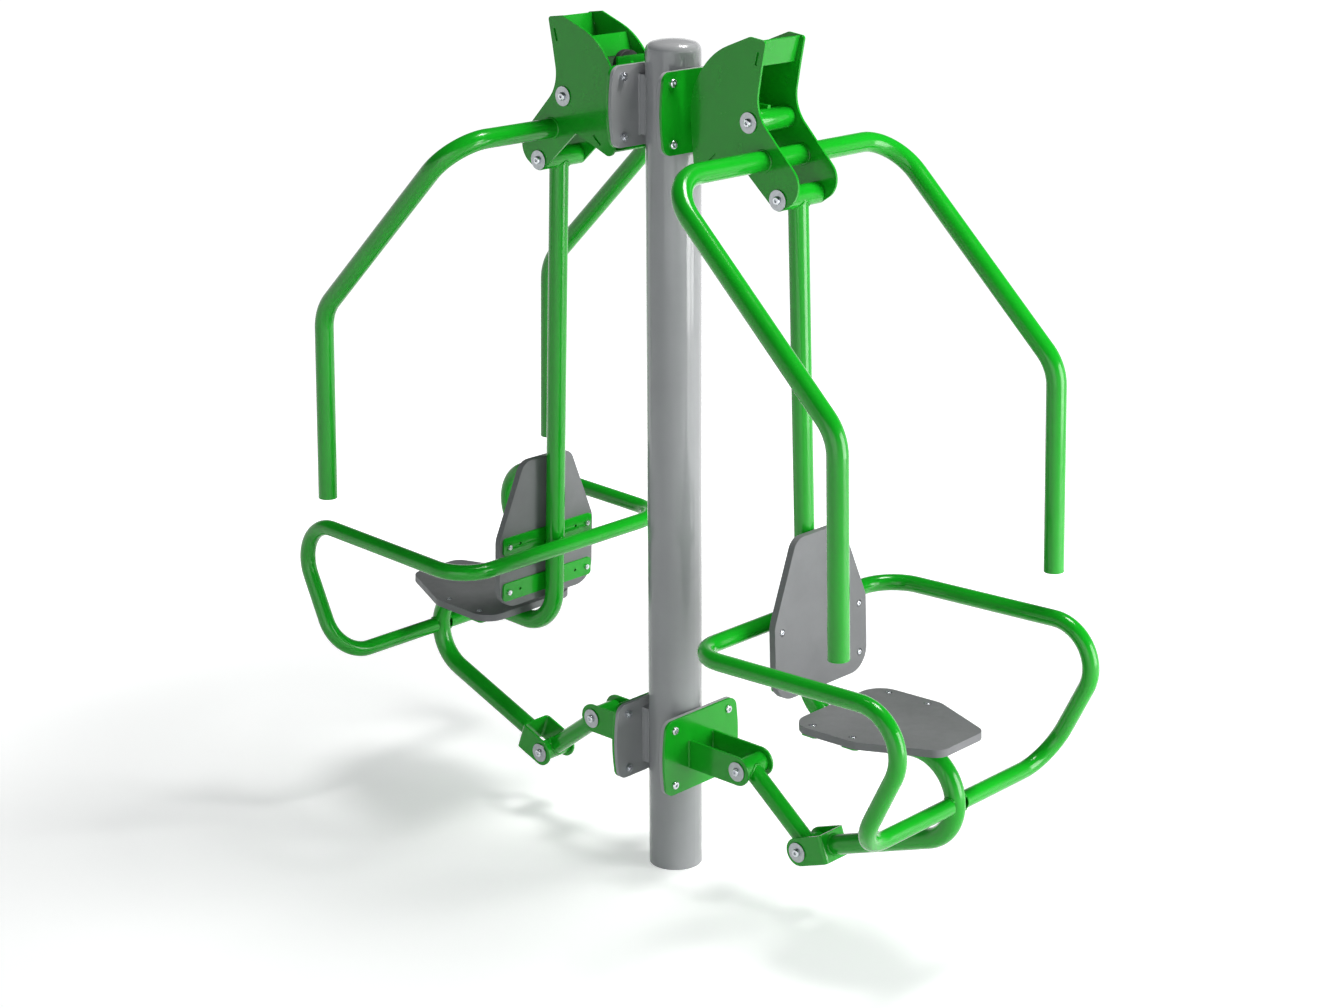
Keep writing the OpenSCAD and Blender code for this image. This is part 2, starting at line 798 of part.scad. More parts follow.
module bracket_upper(turn) {
    color(paint_green)
        station(turn) {
            translate([flange_face + weld_gap, 0, upper_flange_z])
                flange_plate(bracket_t - weld_gap);
            translate([upper_reach, 0, upper_z]) {
                housing(wide_housing);
                difference() {
                    union() {
                        side_plate(0, rib_t) rib_outline();
                        rest_foot();
                        translate([-cross_setback - cross_t, -cross_w / 2, -cross_drop])
                            cube([cross_t, cross_w, cross_rise + cross_drop]);
                    }
                    cross_cylinder(wide_housing, bearing_d + 2 * weld_gap);
                }
            }
        }
}

module bracket_lower(turn) {
    wall = lower_reach - bracket_face;
    color(paint_green)
        station(turn) {
            translate([flange_face + weld_gap, 0, lower_flange_z])
                flange_plate(bracket_t - weld_gap);
            translate([lower_reach, 0, lower_z])
                for (side = [-1, 1])
                    side_plate(side * (fork_half - fork_t / 2), fork_t)
                        difference() {
                            union() {
                                circle(r = lower_arm_r);
                                translate([-wall, -lower_arm_r])
                                    square([wall, 2 * lower_arm_r]);
                            }
                            circle(d = axle_d + 2 * weld_gap);
                        }
        }
}

// Copies for the four flanges, with X pointing away from the post
module every_flange() {
    for (turn = [RIGHT, LEFT], height = [lower_flange_z, upper_flange_z])
        station(turn) translate([0, 0, height]) children();
}

module flange_bolts() {
    grip = bracket_face - flange_back + nut_h + bolt_tail;
    color(steel)
        every_flange()
            at_flange_bolts()
                translate([bracket_face, 0, 0]) rotate([0, 90, 0]) button_bolt(grip);
}

module flange_nuts() {
    color(steel)
        every_flange()
            at_flange_bolts()
                translate([flange_back, 0, 0])
                    rotate([0, -90, 0]) hex_nut(nut_w, nut_h, bolt_d + 2 * weld_gap);
}

module stop_buffers() {
    color(rubber)
        for (turn = [RIGHT, LEFT])
            at_rocker(turn) {
                translate([-cross_setback, 0, buffer_rise])
                    rotate([0, 90, 0]) cylinder(h = buffer_t, d = buffer_d);
                at_tail_plate()
                    translate([0, 0, rocker_t / 2 + stop_gap])
                        cylinder(h = rest_t, d = rest_d);
            }
}

module upper_bearings() {
    color(steel)
        for (turn = [RIGHT, LEFT])
            at_rocker(turn) bearing_pair(wide_housing);
}

module lower_axles() {
    color(steel)
        for (turn = [RIGHT, LEFT])
            at_lower(turn) axle(fork_half, axle_d);
}

module lower_pivot_caps() {
    color(steel)
        for (turn = [RIGHT, LEFT])
            at_lower(turn) pivot_caps(fork_half);
}

module lower_pivot_screws() {
    color(steel)
        for (turn = [RIGHT, LEFT])
            at_lower(turn) pivot_screws(fork_half);
}

// Rocker

// The side view of a rocker's side plate about the rocker's pivot
module rocker_outline() {
    back_start = atan2(nose_back_rise, nose_back)
        + acos(rocker_back_r / norm([nose_back, nose_back_rise]));
    tail = norm([tail_back, tail_drop]);
    back_end = 180 + atan2(tail_drop, tail_back) - acos(rocker_back_r / tail);
    back_mid = (back_start + back_end) / 2;
    back_corner = rocker_back_r / cos((back_end - back_start) / 2);
    lobe = [hang_reach + lobe_reach, lobe_rise - hang_drop];
    notch = [-notch_back, -notch_drop];
    // The bottom corner is where the notch's edge and the lobe's edge leave the round end
    hang = [hang_reach, -hang_drop];
    notch_way = hang - notch;
    lobe_way = hang - lobe;
    notch_edge = atan2(notch_way.y, notch_way.x) - asin(hang_r / norm(notch_way));
    lobe_edge = atan2(lobe_way.y, lobe_way.x) + asin(hang_r / norm(lobe_way));
    notch_dir = [cos(notch_edge), sin(notch_edge)];
    lobe_dir = [cos(lobe_edge), sin(lobe_edge)];
    across = lobe - notch;
    reach = (across.x * lobe_dir.y - across.y * lobe_dir.x)
        / (notch_dir.x * lobe_dir.y - notch_dir.y * lobe_dir.x);
    rounded_outline([[nose_reach, nose_rise],
                     [nose_back, nose_back_rise],
                     [back_corner * cos(back_mid), back_corner * sin(back_mid)],
                     [-tail_back, -tail_drop],
                     notch,
                     notch + notch_dir * reach,
                     lobe,
                     [waist_reach, waist_rise],
                     [brow_reach, brow_rise]],
                    [nose_r, nose_r, rocker_back_r, tail_r, notch_r, hang_r,
                     lobe_r, waist_r, brow_r]);
}

// A plate between the side plates
module inner_plate(length) {
    cube([rocker_t, 2 * rocker_inner, length], center = true);
}

// The tabs of an inner plate, or the slots that take them when play is above zero
module tabs(shift, play, half) {
    translate([0, 0, shift])
        cube([rocker_t + 2 * play, 2 * half, tab_l + 2 * play], center = true);
}

// Where the nose plate stands, seen from the rocker's pivot
module at_nose_plate() {
    translate([nose_plate_reach, 0, nose_plate_rise])
        rotate([0, nose_plate_lean, 0]) children();
}

module rocker(turn) {
    color(plate_green)
        at_rocker(turn) {
            difference() {
                for (side = [-1, 1])
                    side_plate(side * (rocker_half - rocker_t / 2), rocker_t)
                        difference() {
                            rocker_outline();
                            circle(d = axle_d + 2 * weld_gap);
                            translate([hang_reach, -hang_drop])
                                circle(d = axle_d + 2 * weld_gap);
                            translate([crossbar_reach, -crossbar_drop])
                                circle(r = handle_r + weld_gap);
                        }
                at_nose_plate() tabs(-nose_tab_drop, tab_play, rocker_half + overrun);
                at_tail_plate()
                    rotate([0, 90, 0]) tabs(tail_tab_shift, tab_play, rocker_half + overrun);
            }
            at_nose_plate() {
                inner_plate(nose_plate_l);
                tabs(-nose_tab_drop, 0, rocker_half - tab_sink);
            }
            at_tail_plate() rotate([0, 90, 0]) {
                inner_plate(tail_plate_l);
                tabs(tail_tab_shift, 0, rocker_half - tab_sink);
            }
            rotate([0, travel, 0])
                translate([buffer_t - cross_setback + stop_gap + rocker_t / 2, 0, buffer_rise])
                    inner_plate(stop_plate_l);
        }
}

module handle(turn) {
    color(paint_green)
        at_rocker(turn)
            bent_tube([[grip_reach, -grip_half, -grip_drop],
                       [elbow_reach, -grip_half, -elbow_drop],
                       [crossbar_reach, -grip_half, -crossbar_drop],
                       [crossbar_reach, grip_half, -crossbar_drop],
                       [elbow_reach, grip_half, -elbow_drop],
                       [grip_reach, grip_half, -grip_drop]],
                      [for (i = [1 : 4]) handle_bend], handle_d, handle_wall);
}

// Lean of a grip from the upright
grip_lean = atan2(grip_reach - elbow_reach, grip_drop - elbow_drop);

module grip_caps(turn) {
    color(paint_green)
        at_rocker(turn)
            for (side = [-1, 1])
                translate([grip_reach, side * grip_half, -grip_drop])
                    rotate([0, 180 - grip_lean, 0]) {
                        translate([0, 0, weld_gap])
                            cylinder(h = grip_cap_t, r = handle_r);
                        translate([0, 0, -grip_cap_plug])
                            cylinder(h = grip_cap_plug + grip_cap_t,
                                     r = handle_r - handle_wall - weld_gap);
                    }
}

module rocker_axles(turn) {
    color(steel) {
        at_rocker(turn) axle(rocker_half, axle_d);
        at_hang(turn) axle(rocker_half, axle_d);
    }
}

module rocker_pivot_caps(turn) {
    color(steel) {
        at_rocker(turn) pivot_caps(rocker_half);
        at_hang(turn) pivot_caps(rocker_half);
    }
}

module rocker_pivot_screws(turn) {
    color(steel) {
        at_rocker(turn) pivot_screws(rocker_half);
        at_hang(turn) pivot_screws(rocker_half);
    }
}

// Seat frame

module spine_head(turn) {
    color(paint_green) at_spine(turn) housing(wide_housing);
}

// A round rod from a to b
module rod(a, b, d) {
    run = b - a;
    translate(a)
        rotate([0, acos(run.z / norm(run)), atan2(run.y, run.x)])
            cylinder(h = norm(run), d = d);
}

// A round rod bent at b on its way from a to c
module rod_elbow(a, b, c, bend_r, d) {
    way_in = unit(b - a);
    way_out = unit(c - b);
    bent = unit(way_out - way_in * (way_in * way_out));
    middle = b - way_in * setback(a, b, c, bend_r) + bent * bend_r;
    up = cross(-bent, way_in);
    multmatrix([[-bent.x, way_in.x, up.x, middle.x],
                [-bent.y, way_in.y, up.y, middle.y],
                [-bent.z, way_in.z, up.z, middle.z],
                [0, 0, 0, 1]])
        rotate_extrude(angle = turn_angle(a, b, c))
            translate([bend_r, 0]) circle(d = d);
}

// The solid form of the spine: down, forward under the seat, and back to the clevis
module spine_rod(d) {
    leg = clevis_l + weld_gap;
    top = [0, 0, 0];
    heel = [0, 0, -seat_tube_drop];
    run_start = [rear_bend, 0, -seat_tube_drop];
    run_end = [front_bend_reach, 0, -seat_tube_drop];
    toe = [front_corner, 0, -seat_tube_drop];
    leg_start = [front_bend_reach + front_bend * sin(leg_angle), 0,
                 -bend_drop - front_bend * cos(leg_angle)];
    leg_end = [leg * cos(leg_angle), 0, leg * sin(leg_angle) - spine_drop];
    union() {
        rod(top, [0, 0, rear_bend - seat_tube_drop], d);
        rod(run_start, run_end, d);
        rod_elbow(top, heel, run_end, rear_bend, d);
    }
    rod_elbow(run_start, toe, leg_end, front_bend, d);
    rod(leg_start, leg_end, d);
}

module spine(turn) {
    color(paint_green)
        at_spine(turn)
            difference() {
                spine_rod(frame_d);
                spine_rod(frame_d - 2 * frame_wall);
                cross_cylinder(wide_housing + overrun, housing_d + 2 * weld_gap);
            }
}

module armrest(turn) {
    back_x = -(frame_r + arm_d / 2 + weld_gap);
    end_y = frame_r + weld_gap;
    color(paint_green)
        at_spine(turn)
            bent_tube([[lower_bar_x, -end_y, -bend_drop],
                       [lower_bar_x, -arm_half, -bend_drop],
                       [arm_reach, -arm_half, -arm_drop],
                       [back_x, -arm_half, -arm_drop],
                       [back_x, arm_half, -arm_drop],
                       [arm_reach, arm_half, -arm_drop],
                       [lower_bar_x, arm_half, -bend_drop],
                       [lower_bar_x, end_y, -bend_drop]],
                      [arm_bend, arm_bend, arm_back_bend, arm_back_bend, arm_bend, arm_bend],
                      arm_d, arm_wall);
}

// A folded clevis, open above and below, whose back is welded to the leg
module clevis(turn) {
    r = clevis_h / 2;
    inner_fold = clevis_fold - fork_t;
    color(paint_green)
        at_toe(turn)
            intersection() {
                translate([0, 0, -r])
                    linear_extrude(clevis_h)
                        difference() {
                            rounded_outline([[-clevis_l, -fork_half], [clevis_l, -fork_half],
                                             [clevis_l, fork_half], [-clevis_l, fork_half]],
                                            [fork_t, clevis_fold, clevis_fold, fork_t]);
                            rounded_outline([[-2 * clevis_l, -fork_inner],
                                             [clevis_l - fork_t, -fork_inner],
                                             [clevis_l - fork_t, fork_inner],
                                             [-2 * clevis_l, fork_inner]],
                                            [fork_t, inner_fold, inner_fold, fork_t]);
                        }
                side_plate(0, 2 * fork_half)
                    difference() {
                        union() {
                            circle(r = r);
                            translate([0, -r]) square([clevis_l, clevis_h]);
                        }
                        circle(d = open_axle_d + 2 * weld_gap);
                    }
            }
}

// Boards

// A strip about the origin, with its length along Y
module strip() {
    half = [strip_w / 2, strip_l / 2];
    linear_extrude(strip_t)
        difference() {
            rounded_outline([[-half.x, -half.y], [half.x, -half.y],
                             [half.x, half.y], [-half.x, half.y]],
                            [for (i = [0 : 3]) strip_corner]);
            for (y = [-board_bolt_span / 2, board_bolt_span / 2])
                translate([0, y]) circle(d = board_bolt_d + 2 * bolt_play);
            for (y = [-strip_hole_span / 2, strip_hole_span / 2])
                translate([0, y]) circle(d = strip_hole_d);
        }
}

// Copies on the two strips of the backrest, with Z pointing to the user
module at_back_strips() {
    for (down = [back_bolt_drop, back_bolt_drop + back_bolt_rise])
        translate([frame_r + weld_gap, 0, -down]) rotate([0, 90, 0]) children();
}

// Copies on the two strips of the seat, with Z pointing to the user
module at_seat_strips() {
    for (out = [seat_bolt_reach, seat_bolt_reach + seat_bolt_run])
        translate([out, 0, -seat_strip_drop + weld_gap]) children();
}

module board_strips(turn) {
    color(paint_green)
        at_spine(turn) {
            at_back_strips() strip();
            at_seat_strips() strip();
        }
}

// A board with a wide end and a narrow end: x runs to the narrow end
module board_outline(length, knee, wide, narrow) {
    rounded_outline([[0, -wide], [length - knee, -wide], [length, -narrow],
                     [length, narrow], [length - knee, wide], [0, wide]],
                    [board_wide_r, board_knee_r, board_narrow_r,
                     board_narrow_r, board_knee_r, board_wide_r]);
}

// The bolt holes of one row of a board, from its back, with the heads' sunk seats
module board_holes() {
    for (y = [-board_bolt_span / 2, board_bolt_span / 2])
        translate([0, y, 0]) {
            translate([0, 0, -overrun])
                cylinder(h = board_t + 2 * overrun, d = board_bolt_d + 2 * bolt_play);
            translate([0, 0, board_t - board_sink])
                cylinder(h = board_sink + overrun, d = board_sink_d);
        }
}

module backrest(turn) {
    color(board_grey)
        at_spine(turn)
            difference() {
                translate([strip_face + weld_gap, 0, -back_top_drop - back_h])
                    rotate([0, -90, 0]) mirror([0, 0, 1])
                        linear_extrude(board_t - weld_gap)
                            board_outline(back_h, back_knee, back_half, back_top_half);
                at_back_strips() translate([0, 0, strip_t - weld_gap]) board_holes();
            }
}

module seat(turn) {
    color(board_grey)
        at_spine(turn)
            difference() {
                translate([seat_front - seat_l, 0, -seat_strip_drop + strip_t + weld_gap])
                    linear_extrude(board_t - weld_gap)
                        board_outline(seat_l, seat_knee, seat_half, seat_front_half);
                at_seat_strips() translate([0, 0, strip_t - weld_gap]) board_holes();
            }
}

// Copies at the bolts of one strip
module at_strip_bolts() {
    for (y = [-board_bolt_span / 2, board_bolt_span / 2])
        translate([0, y, 0]) children();
}

// A bolt whose head sits in a board and whose end passes the strip's nut
module board_bolt() {
    seat = strip_t + board_t - board_sink - weld_gap;
    length = seat + board_nut_h + board_bolt_tail;
    translate([0, 0, seat]) {
        button_head(board_head_d, board_head_h, board_head_round,
                    board_socket_w, board_socket_h);
        translate([0, 0, -length]) cylinder(h = length, d = board_bolt_d);
    }
}

module board_bolts(turn) {
    color(steel)
        at_spine(turn) {
            at_back_strips() at_strip_bolts() board_bolt();
            at_seat_strips() at_strip_bolts() board_bolt();
        }
}

module board_nut() {
    mirror([0, 0, 1]) hex_nut(board_nut_w, board_nut_h, board_bolt_d + 2 * weld_gap);
}

module board_nuts(turn) {
    color(steel)
        at_spine(turn) {
            at_back_strips() at_strip_bolts() board_nut();
            at_seat_strips() at_strip_bolts() board_nut();
        }
}

module spine_bearings(turn) {
    color(steel) at_spine(turn) bearing_pair(wide_housing);
}

module clevis_axle(turn) {
    color(steel) at_toe(turn) axle(fork_half, open_axle_d);
}

module clevis_caps(turn) {
    color(steel) at_toe(turn) pivot_caps(fork_half);
}

module clevis_screws(turn) {
    color(steel) at_toe(turn) pivot_screws(fork_half);
}

// Link

module link(turn) {
    color(paint_green)
        at_link(turn)
            difference() {
                union() {
                    cross_cylinder(narrow_housing, housing_d);
                    translate([link_l, 0, 0]) cross_cylinder(narrow_housing, housing_d);
                    rotate([0, 90, 0]) cylinder(h = link_l, d = link_d);
                }
                for (x = [0, link_l])
                    translate([x, 0, 0])
                        cross_cylinder(narrow_housing + overrun, bearing_d + 2 * weld_gap);
                translate([housing_r, 0, 0])
                    rotate([0, 90, 0])
                        cylinder(h = link_l - housing_d, d = link_d - 2 * link_wall);
            }
}

module link_bearings(turn) {
    color(steel)
        at_link(turn) {
            bearing_pair(narrow_housing);
            translate([link_l, 0, 0]) bearing_pair(narrow_housing);
        }
}

post();
post_cap();
flange(RIGHT, upper_flange_z);  // flange_upper_right
flange(LEFT, upper_flange_z);  // flange_upper_left
flange(RIGHT, lower_flange_z);  // flange_lower_right
flange(LEFT, lower_flange_z);  // flange_lower_left
bracket_upper(RIGHT);  // bracket_upper_right
bracket_upper(LEFT);  // bracket_upper_left
bracket_lower(RIGHT);  // bracket_lower_right
bracket_lower(LEFT);  // bracket_lower_left
flange_bolts();
flange_nuts();
stop_buffers();
upper_bearings();
lower_axles();
lower_pivot_caps();
lower_pivot_screws();
rocker(RIGHT);  // rocker_right
handle(RIGHT);  // handle_right
grip_caps(RIGHT);  // grip_caps_right
rocker_axles(RIGHT);  // rocker_axles_right
rocker_pivot_caps(RIGHT);  // rocker_pivot_caps_right
rocker_pivot_screws(RIGHT);  // rocker_pivot_screws_right
spine(RIGHT);  // spine_right
spine_head(RIGHT);  // spine_head_right
armrest(RIGHT);  // armrest_right
clevis(RIGHT);  // clevis_right
board_strips(RIGHT);  // board_strips_right
backrest(RIGHT);  // backrest_right
seat(RIGHT);  // seat_right
board_bolts(RIGHT);  // board_bolts_right
board_nuts(RIGHT);  // board_nuts_right
spine_bearings(RIGHT);  // spine_bearings_right
clevis_axle(RIGHT);  // clevis_axle_right
clevis_caps(RIGHT);  // clevis_caps_right
clevis_screws(RIGHT);  // clevis_screws_right
link(RIGHT);  // link_right
link_bearings(RIGHT);  // link_bearings_right
rocker(LEFT);  // rocker_left
handle(LEFT);  // handle_left
grip_caps(LEFT);  // grip_caps_left
rocker_axles(LEFT);  // rocker_axles_left
rocker_pivot_caps(LEFT);  // rocker_pivot_caps_left
rocker_pivot_screws(LEFT);  // rocker_pivot_screws_left
spine(LEFT);  // spine_left
spine_head(LEFT);  // spine_head_left
armrest(LEFT);  // armrest_left
clevis(LEFT);  // clevis_left
board_strips(LEFT);  // board_strips_left
backrest(LEFT);  // backrest_left
seat(LEFT);  // seat_left
board_bolts(LEFT);  // board_bolts_left
board_nuts(LEFT);  // board_nuts_left
spine_bearings(LEFT);  // spine_bearings_left
clevis_axle(LEFT);  // clevis_axle_left
clevis_caps(LEFT);  // clevis_caps_left
clevis_screws(LEFT);  // clevis_screws_left
link(LEFT);  // link_left
link_bearings(LEFT);  // link_bearings_left
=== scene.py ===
"""Looks of the two-station outdoor chest press machine, in metres, in the frame of the CAD model."""

import json
import math

import bpy
from mathutils import Matrix, Vector


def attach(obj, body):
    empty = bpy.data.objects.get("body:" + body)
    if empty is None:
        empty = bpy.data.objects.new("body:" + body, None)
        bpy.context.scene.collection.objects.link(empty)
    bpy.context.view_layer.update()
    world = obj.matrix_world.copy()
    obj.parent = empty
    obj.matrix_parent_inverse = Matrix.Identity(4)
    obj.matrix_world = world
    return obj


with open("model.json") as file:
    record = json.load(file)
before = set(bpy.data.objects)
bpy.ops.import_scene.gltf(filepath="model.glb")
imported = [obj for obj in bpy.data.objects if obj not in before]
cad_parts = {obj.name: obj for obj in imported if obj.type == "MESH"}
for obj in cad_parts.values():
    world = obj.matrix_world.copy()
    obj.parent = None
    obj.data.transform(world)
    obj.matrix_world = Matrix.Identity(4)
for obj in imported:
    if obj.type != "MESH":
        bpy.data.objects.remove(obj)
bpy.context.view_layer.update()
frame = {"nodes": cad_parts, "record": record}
nodes = frame["nodes"]

MM = 0.001
SIDES = {"right": 0.0, "left": math.pi}

# Sizes repeated from the CAD model, in metres
POST_R = 69.85 * MM
ROCKER_PIVOT = Vector((314.7, 0, 2015)) * MM
HANG_OFFSET = Vector((93.7, 0, -174.5)) * MM
LOWER_PIVOT = Vector((261.4, 0, 340.8)) * MM
CROSSBAR = Vector((45.5, 0, -86.5)) * MM
SEAT_TILT = math.radians(2)
SPINE_DROP = 1658 * MM
SEAT_TUBE_DROP = 1307 * MM
FRONT_BEND = 115 * MM
FRONT_BEND_REACH = 345 * MM
ARM_DROP = 1053.2 * MM
TUBE_R = 25.4 * MM
ARM_R = 21.2 * MM
LINK_R = 24.15 * MM
HOUSING_R = 27 * MM
ROCKER_HALF = 72.5 * MM
ROCKER_T = 6 * MM
FORK_HALF = 48.5 * MM
FORK_T = 6 * MM
ARM_END_R = 38.5 * MM
BRACKET_FACE = 94.35 * MM
FLANGE_BACK = 76.35 * MM
SADDLE_HALF_W = 42 * MM
SADDLE_HALF_H = 75 * MM
UPPER_FLANGE_Z = 2016 * MM
LOWER_FLANGE_Z = 346 * MM
CLEVIS_L = 87 * MM
STRIP_HALF_W = 25 * MM
BACK_STRIP_DROPS = (1043 * MM, 1171 * MM)
SEAT_STRIP_REACHES = (141.5 * MM, 265.5 * MM)
BEND_DROP = SEAT_TUBE_DROP + FRONT_BEND
TOE_TO_BEND = (FRONT_BEND_REACH, SPINE_DROP - BEND_DROP)
LEG_ANGLE = (math.atan2(TOE_TO_BEND[1], TOE_TO_BEND[0])
             - math.asin(FRONT_BEND / math.hypot(*TOE_TO_BEND)))

# The photograph's camera
CAMERA_PLACE = (4.33914, -4.57594, 2.97892)
CAMERA_PITCH = math.radians(90 - 13.960)
CAMERA_YAW = math.radians(132.732 - 90)
CAMERA_LENS = 69.98
SENSOR_WIDTH = 36.0
IMAGE_SIZE = (1324, 1008)
OPTICAL_CENTRE = (706.70, 343.10)
CLIP_END = 100


# Camera, lights and floor

# Light of the sky by the height of a ray: soft at the horizon and dark overhead
SKY = ((0.0, 0.55), (0.22, 0.32), (0.5, 0.06), (1.0, 0.03))
SKY_TINT = (0.88, 0.97, 1.0)
# Heights of a ray between which the white backdrop ends
BACKDROP_TOP = (0.14, 0.30)
FLOOR_COLOUR = (0.86, 0.87, 0.87, 1)
# Glow of the floor under the object, and the distances between which it turns to white
FLOOR_LIFT = 0.47
FLOOR_FADE = (1.7, 3.2)
FLOOR_HALF = 40

# Soft boxes: nearly overhead, on the right, and weak from the camera's side
LIGHTS = {
    "key": {"place": (0.95, 1.05, 5.3), "target": (0.0, 0.0, 0.0), "size": (1.3, 1.3),
            "power": 165, "colour": (1, 0.99, 0.97)},
    "side": {"place": (5.0, 1.8, 1.75), "target": (0.0, 0.0, 1.6), "size": (3.0, 3.2),
             "power": 265, "colour": (1, 1, 1)},
    "fill": {"place": (2.6, -5.6, 1.9), "target": (0.0, 0.0, 0.9), "size": (5.0, 3.6),
             "power": 75, "colour": (0.97, 0.99, 1)},
}


def make_camera():
    """The photograph's camera, with the optical centre off the middle as in the photograph."""
    data = bpy.data.cameras.new("camera")
    data.sensor_width = SENSOR_WIDTH
    data.lens = CAMERA_LENS
    data.shift_x = (IMAGE_SIZE[0] / 2 - OPTICAL_CENTRE[0]) / IMAGE_SIZE[0]
    data.shift_y = (OPTICAL_CENTRE[1] - IMAGE_SIZE[1] / 2) / IMAGE_SIZE[0]
    data.clip_end = CLIP_END
    camera = bpy.data.objects.new("camera", data)
    camera.location = CAMERA_PLACE
    camera.rotation_euler = (CAMERA_PITCH, 0, CAMERA_YAW)
    bpy.context.scene.collection.objects.link(camera)
    bpy.context.scene.camera = camera


def area_light(name, place, target, size, power, colour):
    """A rectangular lamp that faces the target."""
    data = bpy.data.lights.new(name, "AREA")
    data.shape = "RECTANGLE"
    data.size, data.size_y = size
    data.energy = power
    data.color = colour
    light = bpy.data.objects.new(name, data)
    light.location = place
    light.rotation_euler = (Vector(target) - Vector(place)).to_track_quat("-Z", "Y").to_euler()
    bpy.context.scene.collection.objects.link(light)


def background_ray(tree):
    """1 for the rays that see the background: from the camera, in a reflection or through glass."""
    path = tree.nodes.new("ShaderNodeLightPath")
    total = None
    for ray in ("Is Camera Ray", "Is Glossy Ray", "Is Transmission Ray"):
        if total is None:
            total = path.outputs[ray]
            continue
        add = tree.nodes.new("ShaderNodeMath")
        add.operation = "MAXIMUM"
        tree.links.new(total, add.inputs[0])
        tree.links.new(path.outputs[ray], add.inputs[1])
        total = add.outputs[0]
    return total


def map_range(tree, value, low, high, a, b):
    """value from low to high, turned smoothly into a number from a to b."""
    node = tree.nodes.new("ShaderNodeMapRange")
    node.interpolation_type = "SMOOTHSTEP"
    node.inputs["From Min"].default_value = low
    node.inputs["From Max"].default_value = high
    node.inputs["To Min"].default_value = a
    node.inputs["To Max"].default_value = b
    tree.links.new(value, node.inputs["Value"])
    return node.outputs[0]


def product(tree, a, b):
    """The product of two numbers in a node tree."""
    node = tree.nodes.new("ShaderNodeMath")
    node.operation = "MULTIPLY"
    tree.links.new(a, node.inputs[0])
    tree.links.new(b, node.inputs[1])
    return node.outputs[0]


def make_world():
    """A dim room with a white backdrop as high as the object needs."""
    world = bpy.data.worlds.new("studio")
    bpy.context.scene.world = world
    world.use_nodes = True
    tree = world.node_tree
    tree.nodes.clear()
    place = tree.nodes.new("ShaderNodeTexCoord")
    split = tree.nodes.new("ShaderNodeSeparateXYZ")
    tree.links.new(place.outputs["Generated"], split.inputs[0])
    height = split.outputs["Z"]
    sky = tree.nodes.new("ShaderNodeValToRGB")
    stops = sky.color_ramp.elements
    while len(stops) < len(SKY):
        stops.new(0.5)
    for stop, (position, level) in zip(stops, SKY):
        stop.position = position
        stop.color = (*[level * tint for tint in SKY_TINT], 1)
    tree.links.new(height, sky.inputs[0])
    soft = tree.nodes.new("ShaderNodeBackground")
    tree.links.new(sky.outputs[0], soft.inputs["Color"])
    soft.inputs["Strength"].default_value = 1
    white = tree.nodes.new("ShaderNodeBackground")
    white.inputs["Color"].default_value = (1, 1, 1, 1)
    white.inputs["Strength"].default_value = 1
    mix = tree.nodes.new("ShaderNodeMixShader")
    out = tree.nodes.new("ShaderNodeOutputWorld")
    backdrop = map_range(tree, height, *BACKDROP_TOP, 1, 0)
    tree.links.new(product(tree, background_ray(tree), backdrop), mix.inputs[0])
    tree.links.new(soft.outputs[0], mix.inputs[1])
    tree.links.new(white.outputs[0], mix.inputs[2])
    tree.links.new(mix.outputs[0], out.inputs[0])


def make_floor():
    """A matt floor that keeps the shadows and turns to the backdrop's white away from them."""
    mesh = bpy.data.meshes.new("floor")
    corners = [(x * FLOOR_HALF, y * FLOOR_HALF, 0) for x, y in ((-1, -1), (1, -1), (1, 1), (-1, 1))]
    mesh.from_pydata(corners, [], [(0, 1, 2, 3)])
    floor = bpy.data.objects.new("floor", mesh)
    bpy.context.scene.collection.objects.link(floor)
    material = bpy.data.materials.new("pale_floor")
    material.use_nodes = True
    tree = material.node_tree
    tree.nodes.clear()
    matt = tree.nodes.new("ShaderNodeBsdfDiffuse")
    matt.inputs["Color"].default_value = FLOOR_COLOUR
    place = tree.nodes.new("ShaderNodeTexCoord")
    distance = tree.nodes.new("ShaderNodeVectorMath")
    distance.operation = "LENGTH"
    tree.links.new(place.outputs["Object"], distance.inputs[0])
    lift = map_range(tree, distance.outputs["Value"], *FLOOR_FADE, FLOOR_LIFT, 1)
    glow = tree.nodes.new("ShaderNodeEmission")
    glow.inputs["Color"].default_value = (1, 1, 1, 1)
    tree.links.new(product(tree, background_ray(tree), lift), glow.inputs["Strength"])
    add = tree.nodes.new("ShaderNodeAddShader")
    out = tree.nodes.new("ShaderNodeOutputMaterial")
    tree.links.new(matt.outputs[0], add.inputs[0])
    tree.links.new(glow.outputs[0], add.inputs[1])
    tree.links.new(add.outputs[0], out.inputs[0])
    mesh.materials.append(material)


# Materials

GREEN = (0.006, 0.370, 0.013)
PLATE_GREEN = (0.006, 0.350, 0.013)
POST_GREY = (0.350, 0.353, 0.364)
# The post's grey paint, painted lighter: painted light on the flanges' shaded backs
FLANGE_GREY_WITH_PAINTED_LIGHT = (0.385, 0.389, 0.400)
BOARD_GREY = (0.165, 0.168, 0.174)
ZINC = (0.66, 0.68, 0.72)
SATIN = (0.42, 0.44, 0.46)
# Grain of a turned face, drawn out along the axle
TURNED = (1, 0.1, 1)

# Nodes with the flanges' coat: duller than the post's, and its grey painted lighter than the post's
# as painted light
FLANGES = ("flange_upper", "flange_lower")
# Nodes with long round surfaces and no edges that show
TUBES = ("post", "handle", "spine", "spine_head", "armrest", "link")

